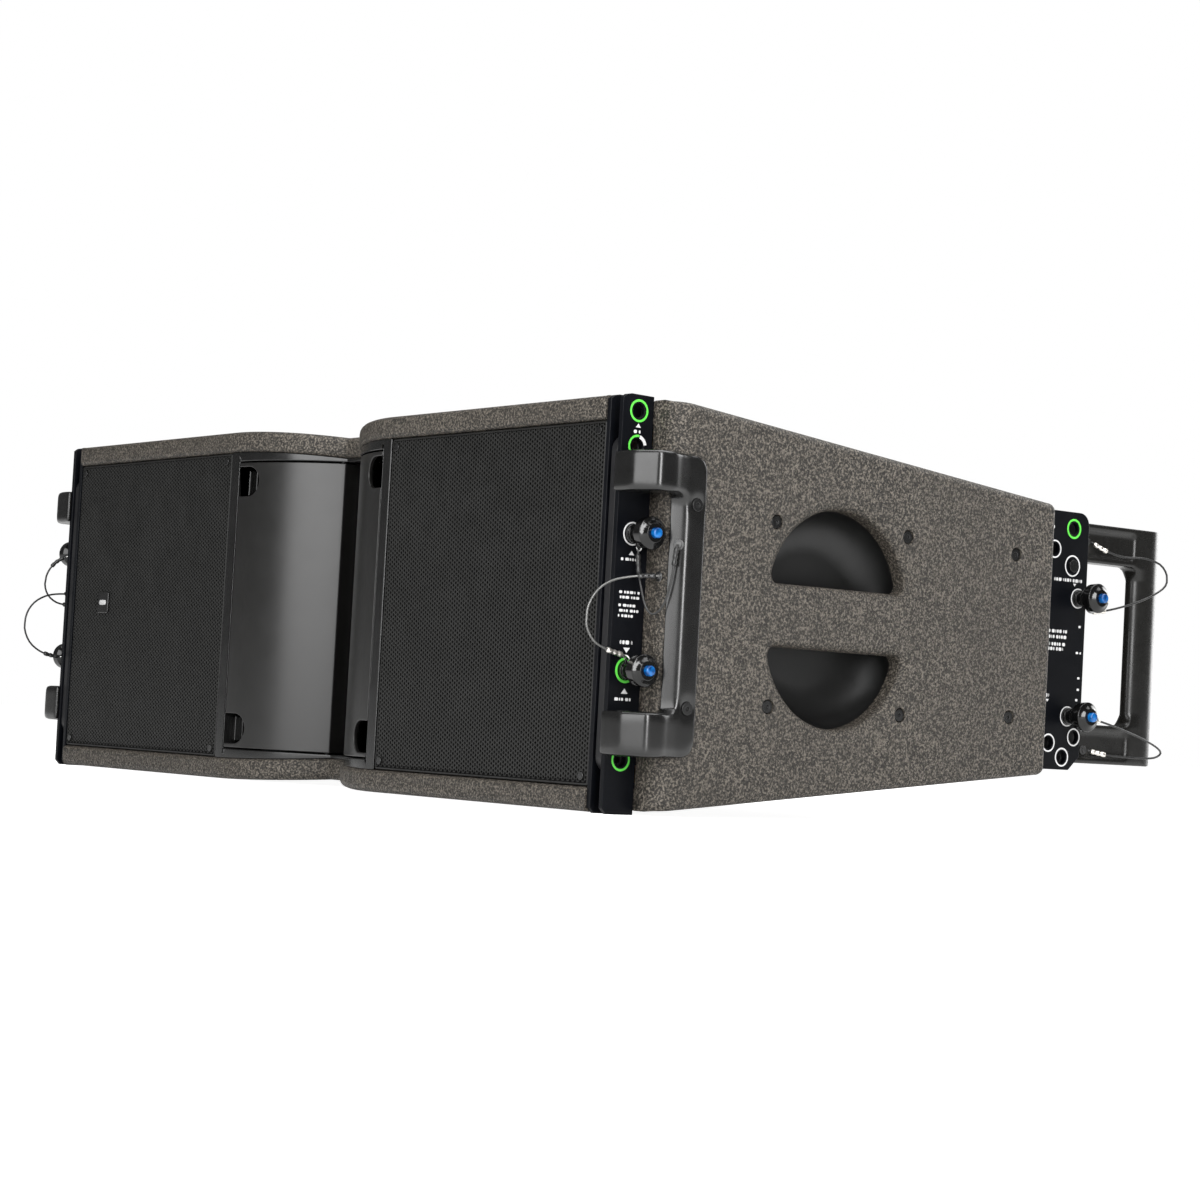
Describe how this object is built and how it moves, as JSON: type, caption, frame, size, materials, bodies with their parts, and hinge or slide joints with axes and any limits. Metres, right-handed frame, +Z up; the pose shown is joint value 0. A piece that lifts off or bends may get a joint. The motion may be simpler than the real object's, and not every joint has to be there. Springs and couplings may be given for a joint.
{
  "type": "line array speaker",
  "caption": "Wedge-shaped array loudspeaker with a V-shaped horn mouth between perforated grilles, side rigging plates, quick-release pins, bumpers and handles.",
  "frame": {"origin": "centre of the bounding box on the plane under the front edge, without the lanyards", "axes": "+X across the cabinet, +Y from the front to the back, +Z up, square to the front"},
  "size_m": [1.096, 0.746, 0.354],
  "materials": {
    "coat": "textured satin coat on plywood",
    "plywood": "plain",
    "grille": "matte perforated sheet",
    "cloth": "matte",
    "moulding": "satin",
    "plate": "satin",
    "link": "satin",
    "fastener": "satin",
    "bolt": "plain",
    "eyelet": "plain",
    "pin": "gloss",
    "button": "translucent",
    "wire": "plain",
    "driver_frame": "cast",
    "cone": "matte",
    "magnet": "plain",
    "handle": "satin"
  },
  "bodies": {
    "root": {"top_panel": "coat", "bottom_panel": "coat", "side_wall_left": "coat", "side_wall_right": "coat", "inner_walls": "plywood", "rear_panel": "coat", "driver_baffles": "plywood", "bracing": "plywood", "grille_left": "grille", "grille_right": "grille", "grille_cloths": "cloth", "grille_screws": "fastener", "horn_frame": "moulding", "waveguide": "moulding", "compression_drivers": "driver_frame", "mid_driver_frames": "driver_frame", "mid_driver_cones": "cone", "woofer_baskets": "driver_frame", "woofer_cones": "cone", "woofer_magnets": "magnet", "connector_plate": "plate", "bumper_left": "moulding", "bumper_right": "moulding", "handle_cup_left": "moulding", "handle_cup_right": "moulding", "side_screws": "fastener", "front_plates_left": "plate", "front_plates_right": "plate", "rear_plates_left": "plate", "rear_plates_right": "plate", "rigging_bolts": "bolt", "rear_handle_left": "handle", "rear_handle_right": "handle", "lanyard_eyelets": "eyelet", "lanyards_front_left": "wire", "lanyards_rear_left": "wire", "lanyards_front_right": "wire", "lanyards_rear_right": "wire"},
    "horn_fin_left": {"horn_fin_left": "moulding"},
    "front_link_left": {"front_link_left": "link"},
    "rear_link_left": {"rear_link_left": "link"},
    "pin_front_upper_left": {"pin_front_upper_left": "pin"},
    "button_front_upper_left": {"button_front_upper_left": "button"},
    "pin_front_lower_left": {"pin_front_lower_left": "pin"},
    "button_front_lower_left": {"button_front_lower_left": "button"},
    "pin_rear_upper_left": {"pin_rear_upper_left": "pin"},
    "button_rear_upper_left": {"button_rear_upper_left": "button"},
    "pin_rear_lower_left": {"pin_rear_lower_left": "pin"},
    "button_rear_lower_left": {"button_rear_lower_left": "button"},
    "horn_fin_right": {"horn_fin_right": "moulding"},
    "front_link_right": {"front_link_right": "link"},
    "rear_link_right": {"rear_link_right": "link"},
    "pin_front_upper_right": {"pin_front_upper_right": "pin"},
    "button_front_upper_right": {"button_front_upper_right": "button"},
    "pin_front_lower_right": {"pin_front_lower_right": "pin"},
    "button_front_lower_right": {"button_front_lower_right": "button"},
    "pin_rear_upper_right": {"pin_rear_upper_right": "pin"},
    "button_rear_upper_right": {"button_rear_upper_right": "button"},
    "pin_rear_lower_right": {"pin_rear_lower_right": "pin"},
    "button_rear_lower_right": {"button_rear_lower_right": "button"}
  },
  "joints": [
    {"name": "fin_swing_left", "type": "hinge", "parent": "root", "child": "horn_fin_left", "pos_m": [-0.027, -0.29, 0.177], "axis": [0, 0, 1], "range_deg": [0, 20]},
    {"name": "front_link_slide_left", "type": "slide", "parent": "root", "child": "front_link_left", "axis": [0, 0, 1], "range_m": [0, 0.072]},
    {"name": "rear_link_slide_left", "type": "slide", "parent": "root", "child": "rear_link_left", "axis": [0, 0, -1], "range_m": [0, 0.045]},
    {"name": "pin_pull_front_upper_left", "type": "slide", "parent": "root", "child": "pin_front_upper_left", "axis": [-1, 0, 0], "range_m": [0, 0.04]},
    {"name": "button_press_front_upper_left", "type": "slide", "parent": "pin_front_upper_left", "child": "button_front_upper_left", "axis": [1, 0, 0], "range_m": [0, 0.004], "stiffness_N_per_m": 300},
    {"name": "pin_pull_front_lower_left", "type": "slide", "parent": "root", "child": "pin_front_lower_left", "axis": [-1, 0, 0], "range_m": [0, 0.04]},
    {"name": "button_press_front_lower_left", "type": "slide", "parent": "pin_front_lower_left", "child": "button_front_lower_left", "axis": [1, 0, 0], "range_m": [0, 0.004], "stiffness_N_per_m": 300},
    {"name": "pin_pull_rear_upper_left", "type": "slide", "parent": "root", "child": "pin_rear_upper_left", "axis": [-1, 0, 0], "range_m": [0, 0.04]},
    {"name": "button_press_rear_upper_left", "type": "slide", "parent": "pin_rear_upper_left", "child": "button_rear_upper_left", "axis": [1, 0, 0], "range_m": [0, 0.004], "stiffness_N_per_m": 300},
    {"name": "pin_pull_rear_lower_left", "type": "slide", "parent": "root", "child": "pin_rear_lower_left", "axis": [-1, 0, 0], "range_m": [0, 0.04]},
    {"name": "button_press_rear_lower_left", "type": "slide", "parent": "pin_rear_lower_left", "child": "button_rear_lower_left", "axis": [1, 0, 0], "range_m": [0, 0.004], "stiffness_N_per_m": 300},
    {"name": "fin_swing_right", "type": "hinge", "parent": "root", "child": "horn_fin_right", "pos_m": [0.027, -0.29, 0.177], "axis": [0, 0, -1], "range_deg": [0, 20]},
    {"name": "front_link_slide_right", "type": "slide", "parent": "root", "child": "front_link_right", "axis": [0, 0, 1], "range_m": [0, 0.072]},
    {"name": "rear_link_slide_right", "type": "slide", "parent": "root", "child": "rear_link_right", "axis": [0, 0, -1], "range_m": [0, 0.045]},
    {"name": "pin_pull_front_upper_right", "type": "slide", "parent": "root", "child": "pin_front_upper_right", "axis": [1, 0, 0], "range_m": [0, 0.04]},
    {"name": "button_press_front_upper_right", "type": "slide", "parent": "pin_front_upper_right", "child": "button_front_upper_right", "axis": [-1, 0, 0], "range_m": [0, 0.004], "stiffness_N_per_m": 300},
    {"name": "pin_pull_front_lower_right", "type": "slide", "parent": "root", "child": "pin_front_lower_right", "axis": [1, 0, 0], "range_m": [0, 0.04]},
    {"name": "button_press_front_lower_right", "type": "slide", "parent": "pin_front_lower_right", "child": "button_front_lower_right", "axis": [-1, 0, 0], "range_m": [0, 0.004], "stiffness_N_per_m": 300},
    {"name": "pin_pull_rear_upper_right", "type": "slide", "parent": "root", "child": "pin_rear_upper_right", "axis": [1, 0, 0], "range_m": [0, 0.04]},
    {"name": "button_press_rear_upper_right", "type": "slide", "parent": "pin_rear_upper_right", "child": "button_rear_upper_right", "axis": [-1, 0, 0], "range_m": [0, 0.004], "stiffness_N_per_m": 300},
    {"name": "pin_pull_rear_lower_right", "type": "slide", "parent": "root", "child": "pin_rear_lower_right", "axis": [1, 0, 0], "range_m": [0, 0.04]},
    {"name": "button_press_rear_lower_right", "type": "slide", "parent": "pin_rear_lower_right", "child": "button_rear_lower_right", "axis": [-1, 0, 0], "range_m": [0, 0.004], "stiffness_N_per_m": 300}
  ]
}
